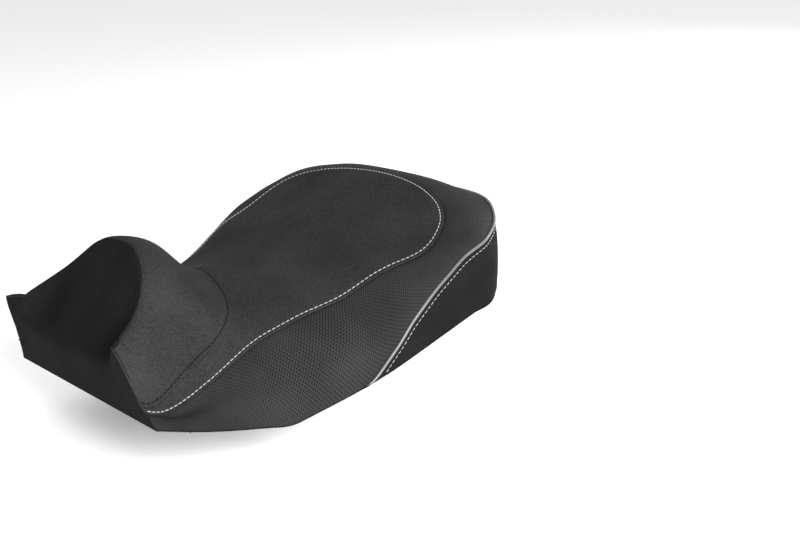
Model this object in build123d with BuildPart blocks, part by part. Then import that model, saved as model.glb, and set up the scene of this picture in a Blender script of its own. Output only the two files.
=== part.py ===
"""Rider's seat of an adventure-touring motorcycle: a moulded pan with foam and a sewn cover on top,
and under it a height adjuster that turns on a pin, a swinging rear bail and the striker for the seat lock.

Axes: +X points to the rear of the motorcycle, +Y to the rider's right, +Z up.
The origin is the centre of the frame's front cross tube when the seat is clipped to it in its low position.
"""
from math import asin, degrees
import os

from build123d import *

os.makedirs("parts", exist_ok=True)

# ------------------------------------------------------------------ driving dimensions, mm
height_step = 20.0          # how much higher the high position is than the low one
tube_radius = 10.0          # the frame's front cross tube
cover_thickness = 2.4       # vinyl with its backing
cover_gap = 0.2             # between the cover and the foam
pan_thickness = 3.5
hem_thickness = 1.8
running_gap = 0.05          # radial, a shaft in its bearing
screw_gap = 0.3             # radial, a screw in its plate

bay_half_width = 84.5       # inside the raised middle of the pan
bay_front = -62.0
bay_rear = 288.0

# Lines in side view, (x, z). The rim line is the underside of the pan's flange, the deck line is its top.
rim_line = [(-120, 40.3), (-72, 31), (36, 10), (202, 57), (330, 93)]
deck_line = [(-120, 55), (62, 55), (205, 92), (226, 104), (330, 104)]
piping_line = [(97, 20), (113, 33), (139, 61), (167, 87), (201, 110), (241, 126), (271, 137), (290, 152), (312, 157)]
front_edge_top = (-93, 102)
front_edge_foot = (-74, 30)
bottom_bend_radius = 70

# Cross-sections of the covered seat. Each is x, then (half-width, height) at the rim,
# on the flank, at the long seam and on the shoulder, then the height at the middle.
sections = [
    (-96, (113, 42), (112, 62), (108, 82), (95, 108), 166),
    (-60, (129, 31), (121, 36), (112, 46), (88, 118), 167),
    (-28, (138, 26), (124, 34), (107, 48), (64, 136), 162),
    (5, (147, 17), (128, 36), (103, 59), (58, 116), 149),
    (38, (155, 9), (136, 42), (101, 72), (56, 96), 118),
    (64, (160, 17), (144, 50), (103, 80), (56, 98), 111),
    (90, (166, 24), (153, 58), (108, 87), (58, 101), 108),
    (119, (170, 31), (163, 66), (118, 97), (64, 107), 112),
    (152, (171, 42), (173, 74), (127, 109), (70, 117), 120),
    (201, (170, 56), (174, 108), (138, 124), (76, 133), 137),
    (232, (169, 64), (172, 120), (132, 143), (74, 149), 152),
    (262, (168, 72), (170, 132), (118, 157), (66, 164), 166),
    (310, (164, 84), (160, 146), (112, 155), (60, 158), 159),
]

# Plan of the rear end: the side, the corner and the slightly bowed back.
rear_side_end = (236, 176)
rear_corner = (283, 146)
rear_back_start = (297, 98)
rear_middle = (303, 0)

# The scoop that receives the end of the fuel tank: its plan at the ridge, and how it falls away forwards.
scoop_plan = [(-21, 0), (-20, 30), (-20, 55), (-26, 75), (-36, 88), (-56, 103), (-90, 118)]
scoop_ridge_height = 150.0
scoop_fall = (-1, 0, -1.25)

# Sewing lines in plan, one half, as (x, distance from the middle), from the front end to the middle at the rear.
long_seam = [
    (-110, 119), (-77, 116), (-28, 107), (37, 101.5), (90, 108), (152, 127.5), (196, 138), (228, 129),
    (246, 103), (257, 62), (262, 0),
]
nose_seam = [(-110, 112), (-48, 101), (9, 84), (40, 60), (51, 0)]

# Sewn trim
piping_height = 1.6
piping_half_width = 2.8
thread_height = 0.6
thread_half_width = 0.7
band_thread_drop = 8.0               # below the piping line

# Inner edge of the cover's hem in plan, one half, from the front middle to the rear middle
hem_inner = [(-52, 0), (-52, 98), (36, 132), (104, 148), (236, 148), (272, 122), (282, 84), (284, 0)]
staple_line = [(-63, 0), (-63, 104), (36, 143), (104, 158), (238, 158), (270, 140), (290, 92), (294, 0)]
staple_pitch = 19.0
staple_crown = 10.0
staple_wire = 1.0
staple_leg = 1.4

# Ribs under the deck
rib_thickness = 2.5
rib_depth = 12.0
rib_first_x = 46.0
rib_pitch = 36.0
rib_count = 5
rib_line_y = 42.0

# Rubber buffers that stand on the frame rails: x, distance from the middle, radius, height of the foot
buffers = [(60.0, 116.0, 9.0, 2.0), (150.0, 126.0, 11.0, 28.0)]
buffer_stem_radius = 4.0

# Front height adjuster and its bracket
pivot_radius = 4.0
low_drop = 18.0                      # pivot to tube, low position
high_drop = low_drop + height_step   # pivot to tube, high position
clip_wall = 4.0
clip_mouth_half = 9.2
clip_inner_y = 40.0
clip_outer_y = 62.0
hub_radius = 9.0
link_radius = 6.5
ear_y = 65.0
ear_radius = 7.5                     # round the pin, clear above the tube's path into the low clip
sheet_thickness = 2.5
bracket_half_length = 22.0
bracket_half_width = 74.0
bracket_screws = (13.0, 48.0)
pin_half_length = 72.0
clip_ring_radius = 7.0

# Rear bail
bail_radius = 4.0
bail_arm = 44.0
bail_pivot_x = 250.0
bail_pivot_z = 80.0
bail_half_width = 50.0
bail_bend_radius = 9.0
bail_end_y = 80.0
bearing_y = 72.0
bearing_width = 12.0
bearing_half_length = 15.0
bearing_foot_z = 70.0
bearing_screw_x = 10.0
sleeve_radius = 6.5
sleeve_half_length = 36.0
bail_swing = degrees(asin(height_step / bail_arm))

# Lock striker
striker_x = 276.0
striker_radius = 4.0
striker_half_width = 15.0
striker_drop = 31.0
striker_plate_half = (10.0, 27.0)
striker_screw_y = 22.0

# Screws and their inserts
screw_radius = 2.5
screw_head_radius = 4.5
screw_head_height = 3.0
insert_radius = 3.8
insert_length = 9.0
boss_radius = 7.0
boss_height = 8.0

deck_underside = deck_line[0][1] - pan_thickness
rear_deck_underside = deck_line[-1][1] - pan_thickness


# ------------------------------------------------------------------ shared shapes
def raised(line, amount):
    """A side-view line moved up by amount."""
    return [(x, z + amount) for x, z in line]


def side_prism(outline, half_width=200.0):
    """A closed side-view outline, extruded to both sides of the middle plane."""
    with BuildPart() as prism:
        with BuildSketch(Plane.XZ):
            with BuildLine():
                Polyline(*outline, close=True)
            make_face()
        extrude(amount=half_width, both=True)
    return prism.part


def region_below(line, half_width=200.0):
    """Everything under a side-view line."""
    floor = -60
    return side_prism([*line, (line[-1][0], floor), (line[0][0], floor)], half_width)


def plan_prism(half_line):
    """What lies inside a sewing line, upwards: the line is given from its front end to the middle at the rear."""
    other_half = [(x, -y) for x, y in reversed(half_line[:-1])]
    front_x, front_y = half_line[0]
    with BuildPart() as prism:
        with BuildSketch(Plane.XY.offset(-60)):
            with BuildLine():
                Spline(*half_line, *other_half)
                Line((front_x, -front_y), (front_x, front_y))
            make_face()
        extrude(amount=300)
    return prism.part


def rear_outline_prism(grow):
    """The plan of the seat's rounded rear end, and clear of everything further forwards."""
    with BuildPart() as prism:
        with BuildSketch(Plane.XY.offset(-60)):
            with BuildLine():
                side_x, side_y = rear_side_end
                corner_x, corner_y = rear_corner
                back_x, back_y = rear_back_start
                Line((-140, side_y + grow + 20), (side_x, side_y + grow + 20))
                Line((side_x, side_y + grow + 20), (side_x, side_y + grow))
                ThreePointArc((side_x, side_y + grow), (corner_x + grow * 0.7, corner_y + grow * 0.7),
                              (back_x + grow, back_y))
                ThreePointArc((back_x + grow, back_y), (rear_middle[0] + grow, 0), (back_x + grow, -back_y))
                ThreePointArc((back_x + grow, -back_y), (corner_x + grow * 0.7, -corner_y - grow * 0.7),
                              (side_x, -side_y - grow))
                Line((side_x, -side_y - grow), (side_x, -side_y - grow - 20))
                Line((side_x, -side_y - grow - 20), (-140, -side_y - grow - 20))
                Line((-140, -side_y - grow - 20), (-140, side_y + grow + 20))
            make_face()
        extrude(amount=300)
    return prism.part


def tank_scoop(grow):
    """The hollow at the front, a U in plan that is swept forwards and down from the ridge."""
    half = [(x + grow, y) for x, y in scoop_plan]
    other = [(x, -y) for x, y in reversed(half[1:])]
    fall = Vector(*scoop_fall).normalized()
    with BuildPart() as scoop:
        with BuildSketch(Plane.XY.offset(scoop_ridge_height)):
            with BuildLine():
                ends = Spline(*other, *half)
                Polyline(ends @ 1, (-300, half[-1][1]), (-300, -half[-1][1]), ends @ 0)
            make_face()
        extrude(amount=160, dir=fall)
        extrude(scoop.faces().sort_by(Axis.Z)[-1], amount=120, dir=-fall)
    return scoop.part


def seat_body(grow):
    """The covered seat as one solid, grown outwards by grow, open-ended below the rim line."""
    with BuildPart() as body:
        for x, rim, flank, seam, shoulder, middle in sections:
            rows = [
                (rim[0] + grow, rim[1]),
                (flank[0] + grow, flank[1] + grow * 0.3),
                (seam[0] + grow * 0.7, seam[1] + grow * 0.7),
                (shoulder[0] + grow * 0.3, shoulder[1] + grow),
            ]
            with BuildSketch(Plane.YZ.offset(x)):
                with BuildLine():
                    left = [(-y, z) for y, z in rows]
                    top = Spline(*left, (0, middle + grow), *reversed(rows))
                    Polyline(top @ 1, (rows[0][0], -30), (-rows[0][0], -30), top @ 0)
                make_face()
        loft()
        add(rear_outline_prism(grow), mode=Mode.INTERSECT)
        add(tank_scoop(-grow), mode=Mode.SUBTRACT)
    return body.part



def between(low_line, high_line, half_width=200.0):
    """What lies between two side-view lines, the lower one given first."""
    return side_prism([*low_line, *reversed(high_line)], half_width)


def both_sides(points):
    """Points on the left, and their mirror images on the right."""
    return [(x, side * y) for x, y in points for side in (-1, 1)]


def closed_plan(half_line):
    """A plan outline drawn from its front middle to its rear middle, as straight runs, extruded upwards."""
    other_half = [(x, -y) for x, y in reversed(half_line[1:-1])]
    with BuildPart() as prism:
        with BuildSketch(Plane.XY.offset(-60)):
            with BuildLine():
                Polyline(*half_line, *other_half, close=True)
            make_face()
        extrude(amount=300)
    return prism.part


def height_at(line, x):
    """The height of a side-view line at x."""
    for (x0, z0), (x1, z1) in zip(line, line[1:]):
        if x0 <= x <= x1:
            return z0 + (z1 - z0) * (x - x0) / (x1 - x0)
    raise ValueError(f"no height at {x}")


def finish(piece, name):
    """Labels a finished piece and writes its STEP file."""
    piece.part.label = name
    export_step(piece.part, f"parts/{name}.step")


# ------------------------------------------------------------------ cover
cover_bottom = raised(rim_line, -hem_thickness)
front_cut = [front_edge_top, (-60, 215), (-300, 215), (-300, -60), (-49, -60), front_edge_foot]
front_wall = side_prism(front_cut)
front_wall_inner = side_prism([(x + cover_thickness, z) for x, z in front_cut])
front_wall_foam = side_prism([(x + cover_thickness + cover_gap, z) for x, z in front_cut])

outer_body = seat_body(0)
inner_body = seat_body(-cover_thickness)
foam_body = seat_body(-cover_thickness - cover_gap)

with BuildPart() as cover_space:
    add(inner_body)
    add(front_wall_inner, mode=Mode.SUBTRACT)

with BuildPart() as padding_space:
    add(foam_body)
    add(front_wall_foam, mode=Mode.SUBTRACT)

with BuildPart() as cover_skin:
    add(outer_body)
    add(front_wall, mode=Mode.SUBTRACT)
    add(region_below(cover_bottom), mode=Mode.SUBTRACT)
    add(cover_space.part, mode=Mode.SUBTRACT)

def seam_wall(line):
    """The wall over a sewing line, as wide as its thread."""
    with BuildPart() as wall:
        with BuildSketch(Plane.XY.offset(-60)):
            for grow, mode in ((thread_half_width, Mode.ADD), (-thread_half_width, Mode.SUBTRACT)):
                half = [(x + grow, y + grow if y else 0) for x, y in line]
                other_half = [(x, -y) for x, y in reversed(half[:-1])]
                with BuildLine():
                    Spline(*half, *other_half)
                    Line((half[0][0], -half[0][1]), half[0])
                make_face(mode=mode)
        extrude(amount=300)
    return wall.part


long_seam_wall = seam_wall(long_seam)
nose_seam_wall = seam_wall(nose_seam)

for name, wall in (("long_seam_stitching", long_seam_wall), ("nose_seam_stitching", nose_seam_wall)):
    with BuildPart() as stitching:
        add(cover_skin.part)
        add(wall, mode=Mode.INTERSECT)
    finish(stitching, name)

inside_long_seam = plan_prism(long_seam)
inside_nose_seam = plan_prism(nose_seam)
below_piping = region_below(piping_line)

with BuildPart() as cover_nose_panel:
    add(cover_skin.part)
    add(inside_nose_seam, mode=Mode.INTERSECT)
    add(nose_seam_wall, mode=Mode.SUBTRACT)
finish(cover_nose_panel, "cover_nose_panel")

with BuildPart() as cover_centre_panel:
    add(cover_skin.part)
    add(inside_long_seam, mode=Mode.INTERSECT)
    add(inside_nose_seam, mode=Mode.SUBTRACT)
    add(nose_seam_wall, mode=Mode.SUBTRACT)
    add(long_seam_wall, mode=Mode.SUBTRACT)
finish(cover_centre_panel, "cover_centre_panel")

with BuildPart() as cover_side_panel:
    add(cover_skin.part)
    add(inside_long_seam, mode=Mode.SUBTRACT)
    add(long_seam_wall, mode=Mode.SUBTRACT)
    add(below_piping, mode=Mode.SUBTRACT)
finish(cover_side_panel, "cover_side_panel")

with BuildPart() as cover_rear_band:
    add(cover_skin.part)
    add(below_piping, mode=Mode.INTERSECT)
finish(cover_rear_band, "cover_rear_band")


# ------------------------------------------------------------------ piping and band stitching, proud of the cover
def trim_strip(height, strip):
    """A strip of trim, standing that much proud of the cover, where the strip prism crosses its surface."""
    with BuildPart() as trim:
        add(seat_body(height))
        add(strip, mode=Mode.INTERSECT)
        add(front_wall, mode=Mode.SUBTRACT)
        add(region_below(cover_bottom), mode=Mode.SUBTRACT)
        add(outer_body, mode=Mode.SUBTRACT)
    return trim


piping_strip = between(raised(piping_line, -piping_half_width), raised(piping_line, piping_half_width))
band_thread_strip = between(raised(piping_line, -band_thread_drop - thread_half_width),
                            raised(piping_line, -band_thread_drop + thread_half_width))

finish(trim_strip(piping_height, piping_strip), "piping")
finish(trim_strip(thread_height, band_thread_strip), "band_stitching")


# ------------------------------------------------------------------ pan
bay_length = bay_rear - bay_front
bay_middle = (bay_rear + bay_front) / 2
deck_bottom = raised(deck_line, -pan_thickness)

front_boss_points = both_sides([(-bracket_screws[0], bracket_screws[1]), (bracket_screws[0], bracket_screws[1])])
bearing_screw_points = both_sides([(bail_pivot_x - bearing_screw_x, bearing_y),
                                   (bail_pivot_x + bearing_screw_x, bearing_y)])
striker_screw_points = both_sides([(striker_x, striker_screw_y)])
rear_boss_points = bearing_screw_points + striker_screw_points
buffer_stems = [(x, y) for x, y, radius, foot in buffers]

with BuildPart() as bay_outside:
    with BuildSketch(Plane.XY.offset(-60)):
        with Locations((bay_middle, 0)):
            RectangleRounded(bay_length + 2 * pan_thickness, 2 * (bay_half_width + pan_thickness), 12)
    extrude(amount=300)

with BuildPart() as bay_inside:
    with BuildSketch(Plane.XY.offset(-60)):
        with Locations((bay_middle, 0)):
            RectangleRounded(bay_length, 2 * bay_half_width, 12 - pan_thickness)
    extrude(amount=300)
    add(region_below(deck_bottom), mode=Mode.INTERSECT)

with BuildPart() as ribs:
    rib_span = rib_pitch * (rib_count - 1) + 2 * rib_thickness
    with BuildSketch(Plane.XY.offset(-60)):
        with Locations((rib_first_x + rib_pitch * (rib_count - 1) / 2, 0)):
            with GridLocations(rib_pitch, 0, rib_count, 1):
                Rectangle(rib_thickness, 2 * bay_half_width)
            with GridLocations(0, rib_line_y, 1, 3):
                Rectangle(rib_span, rib_thickness)
    extrude(amount=300)
    add(between(raised(deck_bottom, -rib_depth), deck_bottom), mode=Mode.INTERSECT)

with BuildPart() as seat_pan:
    add(bay_outside.part)
    add(region_below(deck_line), mode=Mode.INTERSECT)
    add(region_below(raised(rim_line, pan_thickness)))
    add(padding_space.part, mode=Mode.INTERSECT)
    add(bay_inside.part, mode=Mode.SUBTRACT)
    add(region_below(rim_line), mode=Mode.SUBTRACT)
    add(ribs.part)
    with Locations(*[(x, y, deck_line[0][1]) for x, y in front_boss_points],
                   *[(x, y, deck_line[-1][1]) for x, y in rear_boss_points]):
        Cylinder(boss_radius, boss_height, align=(Align.CENTER, Align.CENTER, Align.MIN))
    with Locations(*[(x, y, deck_underside) for x, y in front_boss_points],
                   *[(x, y, rear_deck_underside) for x, y in rear_boss_points]):
        Cylinder(insert_radius, insert_length, align=(Align.CENTER, Align.CENTER, Align.MIN), mode=Mode.SUBTRACT)
    with Locations(*[(x, y, 0) for x, y in both_sides(buffer_stems)]):
        Cylinder(buffer_stem_radius, 200, mode=Mode.SUBTRACT)
finish(seat_pan, "seat_pan")

with BuildPart() as threaded_inserts:
    with Locations(*[(x, y, deck_underside) for x, y in front_boss_points],
                   *[(x, y, rear_deck_underside) for x, y in rear_boss_points]):
        Cylinder(insert_radius, insert_length, align=(Align.CENTER, Align.CENTER, Align.MIN))
        Cylinder(screw_radius, insert_length, align=(Align.CENTER, Align.CENTER, Align.MIN), mode=Mode.SUBTRACT)
finish(threaded_inserts, "threaded_inserts")


# ------------------------------------------------------------------ foam
comfort_depth = 16.0
comfort_plan = [(72, 0), (72, 66), (100, 84), (190, 108), (222, 98), (238, 60), (242, 0)]
comfort_gap = 0.3

with BuildPart() as comfort_foam:
    add(padding_space.part)
    add(closed_plan(comfort_plan), mode=Mode.INTERSECT)
    add(seat_body(-cover_thickness - cover_gap - comfort_depth), mode=Mode.SUBTRACT)
    add(region_below(raised(deck_line, 14)), mode=Mode.SUBTRACT)
finish(comfort_foam, "comfort_foam")

with BuildPart() as foam_core:
    add(padding_space.part)
    add(region_below(raised(rim_line, pan_thickness + cover_gap)), mode=Mode.SUBTRACT)
    with BuildPart(mode=Mode.PRIVATE) as pan_hat:
        add(bay_outside.part)
        add(region_below(raised(deck_line, cover_gap)), mode=Mode.INTERSECT)
        offset(amount=cover_gap)
    add(pan_hat.part, mode=Mode.SUBTRACT)
    add(comfort_foam.part, mode=Mode.SUBTRACT)
    with Locations(*[(x, y, deck_line[0][1]) for x, y in front_boss_points],
                   *[(x, y, deck_line[-1][1]) for x, y in rear_boss_points]):
        Cylinder(boss_radius + 1, boss_height + 1, align=(Align.CENTER, Align.CENTER, Align.MIN),
                 mode=Mode.SUBTRACT)
finish(foam_core, "foam_core")


# ------------------------------------------------------------------ hem, staples and buffers
def staple_planes():
    """Where the staples sit: evenly along the staple line on both sides, each lying on the hem."""
    planes = []
    for (x0, y0), (x1, y1) in zip(staple_line, staple_line[1:]):
        run = ((x1 - x0) ** 2 + (y1 - y0) ** 2) ** 0.5
        count = max(1, round(run / staple_pitch))
        for i in range(count):
            share = (i + 0.5) / count
            x = x0 + (x1 - x0) * share
            y = y0 + (y1 - y0) * share
            slope = (height_at(cover_bottom, x + 1) - height_at(cover_bottom, x - 1)) / 2
            for side in (-1, 1):
                along = Vector(x1 - x0, side * (y1 - y0), slope * (x1 - x0))
                down = Vector(slope, 0, -1)
                planes.append(Plane((x, side * y, height_at(cover_bottom, x)), x_dir=along, z_dir=down))
    return planes


with BuildPart() as staples:
    with Locations(*staple_planes()):
        Box(staple_crown, staple_wire, staple_wire, align=(Align.CENTER, Align.CENTER, Align.MIN))
        with GridLocations(staple_crown - staple_wire, 0, 2, 1):
            Box(staple_wire, staple_wire, staple_leg, align=(Align.CENTER, Align.CENTER, Align.MAX))
finish(staples, "staples")

with BuildPart() as cover_hem:
    add(cover_space.part)
    add(between(cover_bottom, rim_line), mode=Mode.INTERSECT)
    add(closed_plan(hem_inner), mode=Mode.SUBTRACT)
    add(staples.part, mode=Mode.SUBTRACT)
finish(cover_hem, "cover_hem")

with BuildPart() as rail_buffers:
    for x, y, radius, foot in buffers:
        with Locations(*[(x, side * y, foot) for side in (-1, 1)]):
            Cylinder(radius, 60, align=(Align.CENTER, Align.CENTER, Align.MIN))
    add(region_below(rim_line), mode=Mode.INTERSECT)
    for x, y, radius, foot in buffers:
        with Locations(*[(x, side * y, foot) for side in (-1, 1)]):
            Cylinder(buffer_stem_radius, 60, align=(Align.CENTER, Align.CENTER, Align.MIN))
    add(region_below(raised(rim_line, pan_thickness)), mode=Mode.INTERSECT)
finish(rail_buffers, "rail_buffers")


# ------------------------------------------------------------------ front height adjuster
with BuildPart() as front_bracket:
    with Locations((0, 0, deck_underside)):
        Box(2 * bracket_half_length, 2 * bracket_half_width, sheet_thickness,
            align=(Align.CENTER, Align.CENTER, Align.MAX))
    fillet(front_bracket.edges().filter_by(Axis.Z), radius=6)
    for side in (-1, 1):
        with BuildSketch(Plane.XZ.offset(-side * (ear_y + sheet_thickness / 2))):
            with BuildLine():
                Polyline((-ear_radius, low_drop), (-ear_radius, 40), (-16, deck_underside - 1),
                         (16, deck_underside - 1), (ear_radius, 40), (ear_radius, low_drop))
                ThreePointArc((ear_radius, low_drop), (0, low_drop - ear_radius), (-ear_radius, low_drop))
            make_face()
            with Locations((0, low_drop)):
                Circle(pivot_radius, mode=Mode.SUBTRACT)
        extrude(amount=sheet_thickness / 2, both=True)
    with Locations(*[(x, y, deck_underside) for x, y in front_boss_points]):
        Cylinder(screw_radius + screw_gap, 20, mode=Mode.SUBTRACT)
finish(front_bracket, "front_bracket")

with BuildPart() as adjuster_pin:
    with Locations(Location((0, 0, low_drop), (90, 0, 0))):
        Cylinder(pivot_radius, 2 * pin_half_length)
    chamfer(adjuster_pin.edges().filter_by(GeomType.CIRCLE), length=0.8)
finish(adjuster_pin, "adjuster_pin")

with BuildPart() as pin_clips:
    for side in (-1, 1):
        with BuildSketch(Plane.XZ.offset(-side * (ear_y + sheet_thickness + 0.8))):
            with Locations((0, low_drop)):
                Circle(clip_ring_radius)
                Circle(pivot_radius, mode=Mode.SUBTRACT)
                with Locations((0, clip_ring_radius)):
                    Rectangle(pivot_radius, 2 * clip_ring_radius, mode=Mode.SUBTRACT)
        extrude(amount=0.5, both=True)
finish(pin_clips, "pin_clips")

clip_radius = tube_radius + clip_wall
low_clip = (0, 0)
high_clip = (high_drop, low_drop)

with BuildPart() as front_adjuster:
    with BuildSketch(Plane.XZ.offset(-clip_outer_y)):
        with Locations((0, low_drop)):
            Circle(hub_radius)
        with Locations(low_clip, high_clip):
            Circle(clip_radius)
        with Locations((0, low_drop / 2)):
            Rectangle(2 * hub_radius, low_drop)
        with Locations((high_drop / 2, low_drop)):
            Rectangle(high_drop, 2 * hub_radius)
        with Locations(low_clip, high_clip):
            Circle(tube_radius, mode=Mode.SUBTRACT)
        with Locations((0, -clip_radius)):
            Rectangle(2 * clip_mouth_half, 2 * clip_radius, mode=Mode.SUBTRACT)
        with Locations((high_drop + clip_radius, low_drop)):
            Rectangle(2 * clip_radius, 2 * clip_mouth_half, mode=Mode.SUBTRACT)
    extrude(amount=clip_outer_y - clip_inner_y)
    mirror(about=Plane.XZ)
    with Locations(Location((0, 0, low_drop), (90, 0, 0))):
        Cylinder(link_radius, 2 * clip_outer_y - 2)
        Cylinder(pivot_radius + running_gap, 2 * clip_outer_y + 2, mode=Mode.SUBTRACT)
finish(front_adjuster, "front_adjuster")


def screw_group(points, seat_height, grip):
    """Pan-head screws driven upwards: the head's top face is at seat_height, the shank goes on by grip."""
    with BuildPart() as group:
        with Locations(*[(x, y, seat_height) for x, y in points]):
            Cylinder(screw_head_radius, screw_head_height, align=(Align.CENTER, Align.CENTER, Align.MAX))
            Cylinder(screw_radius, grip, align=(Align.CENTER, Align.CENTER, Align.MIN))
        fillet(group.faces().group_by(Axis.Z)[0].edges(), radius=0.8)
        with BuildSketch(Plane.XY.offset(seat_height - screw_head_height)):
            with Locations(*points):
                RegularPolygon(radius=2.2, side_count=6)
        extrude(amount=1.8, mode=Mode.SUBTRACT)
    return group


finish(screw_group(front_boss_points, deck_underside - sheet_thickness, sheet_thickness + insert_length - 1),
       "bracket_screws")


# ------------------------------------------------------------------ rear bail
with BuildPart() as rear_bail:
    with BuildLine():
        wire = FilletPolyline(
            (bail_pivot_x, -bail_end_y, bail_pivot_z),
            (bail_pivot_x, -bail_half_width, bail_pivot_z),
            (bail_pivot_x - bail_arm, -bail_half_width, bail_pivot_z),
            (bail_pivot_x - bail_arm, bail_half_width, bail_pivot_z),
            (bail_pivot_x, bail_half_width, bail_pivot_z),
            (bail_pivot_x, bail_end_y, bail_pivot_z),
            radius=bail_bend_radius,
        )
    with BuildSketch(Plane(wire @ 0, z_dir=wire % 0)):
        Circle(bail_radius)
    sweep()
finish(rear_bail, "rear_bail")

with BuildPart() as bail_sleeve:
    with Locations(Location((bail_pivot_x - bail_arm, 0, bail_pivot_z), (90, 0, 0))):
        Cylinder(sleeve_radius, 2 * sleeve_half_length)
    fillet(bail_sleeve.edges().filter_by(GeomType.CIRCLE), radius=1)
    with Locations(Location((bail_pivot_x - bail_arm, 0, bail_pivot_z), (90, 0, 0))):
        Cylinder(bail_radius, 2 * sleeve_half_length + 2, mode=Mode.SUBTRACT)
finish(bail_sleeve, "bail_sleeve")

for name, side in (("bail_bearing_left", -1), ("bail_bearing_right", 1)):
    with BuildPart() as bearing:
        with BuildSketch(Plane.XZ.offset(-side * bearing_y)):
            with BuildLine():
                Polyline((bail_pivot_x - bearing_half_length, rear_deck_underside),
                         (bail_pivot_x + bearing_half_length, rear_deck_underside),
                         (bail_pivot_x + bearing_half_length, bearing_foot_z),
                         (bail_pivot_x - bearing_half_length, bearing_foot_z), close=True)
            make_face()
            with Locations((bail_pivot_x, bail_pivot_z)):
                Circle(bail_radius + running_gap, mode=Mode.SUBTRACT)
        extrude(amount=bearing_width / 2, both=True)
        fillet(bearing.edges().filter_by(Axis.Y).group_by(Axis.Z)[0], radius=5)
        with Locations(*[(bail_pivot_x + step * bearing_screw_x, side * bearing_y, bearing_foot_z) for step in (-1, 1)]):
            Cylinder(screw_radius + screw_gap, 80, mode=Mode.SUBTRACT)
            Cylinder(screw_head_radius + screw_gap, 2 * (screw_head_height + 1), mode=Mode.SUBTRACT)
    finish(bearing, name)

finish(screw_group(bearing_screw_points, bearing_foot_z + screw_head_height + 1,
                   rear_deck_underside - bearing_foot_z - screw_head_height - 1 + insert_length - 1),
       "bearing_screws")


# ------------------------------------------------------------------ lock striker
striker_top = rear_deck_underside - sheet_thickness
striker_foot = striker_top - striker_drop

with BuildPart() as striker_plate:
    with Locations((striker_x, 0, rear_deck_underside)):
        Box(2 * striker_plate_half[0], 2 * striker_plate_half[1], sheet_thickness,
            align=(Align.CENTER, Align.CENTER, Align.MAX))
    fillet(striker_plate.edges().filter_by(Axis.Z), radius=4)
    with Locations(*[(x, y, rear_deck_underside) for x, y in striker_screw_points]):
        Cylinder(screw_radius + screw_gap, 20, mode=Mode.SUBTRACT)
finish(striker_plate, "striker_plate")

with BuildPart() as striker_loop:
    with BuildLine():
        loop_wire = FilletPolyline(
            (striker_x, -striker_half_width + striker_radius, striker_top),
            (striker_x, -striker_half_width + striker_radius, striker_foot),
            (striker_x, striker_half_width - striker_radius, striker_foot),
            (striker_x, striker_half_width - striker_radius, striker_top),
            radius=7,
        )
    with BuildSketch(Plane(loop_wire @ 0, z_dir=loop_wire % 0)):
        Circle(striker_radius)
    sweep()
finish(striker_loop, "striker_loop")

finish(screw_group(striker_screw_points, striker_top, sheet_thickness + insert_length - 1), "striker_screws")
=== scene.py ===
"""Looks of the motorcycle seat: its sewn cover, piping and thread, and the finishes of its hardware."""
import math

import bpy
import numpy as np
from mathutils import Matrix, Vector
from mathutils.kdtree import KDTree


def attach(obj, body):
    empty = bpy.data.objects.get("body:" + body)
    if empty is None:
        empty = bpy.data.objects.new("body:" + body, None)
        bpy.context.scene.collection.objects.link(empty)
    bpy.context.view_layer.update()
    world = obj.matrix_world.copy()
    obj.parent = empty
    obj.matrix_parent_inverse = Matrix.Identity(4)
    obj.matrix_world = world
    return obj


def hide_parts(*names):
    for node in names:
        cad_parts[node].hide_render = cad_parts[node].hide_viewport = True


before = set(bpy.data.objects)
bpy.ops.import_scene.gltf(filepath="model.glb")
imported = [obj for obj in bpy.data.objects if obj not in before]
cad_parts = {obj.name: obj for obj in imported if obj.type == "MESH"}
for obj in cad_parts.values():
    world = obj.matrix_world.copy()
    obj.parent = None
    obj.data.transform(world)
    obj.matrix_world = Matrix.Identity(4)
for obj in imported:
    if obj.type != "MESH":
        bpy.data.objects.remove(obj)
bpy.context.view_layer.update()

MM = 0.001

# ---------------------------------------------------------------- driving sizes, mm, in the frame's axes
# Cross-sections of the covered seat: x, then (half-width, height) at the rim, on the flank,
# at the long seam and on the shoulder, then the height at the middle.
SECTIONS = [
    (-96, (113, 42), (112, 62), (108, 82), (95, 108), 166),
    (-60, (129, 31), (121, 36), (112, 46), (88, 118), 167),
    (-28, (138, 26), (124, 34), (107, 48), (64, 136), 166.5),
    (5, (147, 17), (128, 36), (103, 59), (58, 116), 148.3),
    (38, (155, 9), (136, 42), (101, 72), (56, 95), 116),
    (64, (160, 17), (144, 50), (103, 80), (56, 98), 111),
    (90, (166, 24), (153, 58), (108, 87), (58, 101), 108),
    (119, (170, 31), (163, 64), (118, 95), (64, 107), 112),
    (152, (171, 42), (173, 77), (127, 111), (70, 117), 120),
    (201, (170, 56), (173, 111), (138, 125), (76, 133), 137),
    (232, (169, 64), (172, 120), (132, 143), (74, 149), 152),
    (262, (168, 72), (170, 132), (118, 155.5), (66, 163.5), 165.5),
    (310, (164, 84), (160, 144), (112, 152), (60, 155), 156),
]
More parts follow.
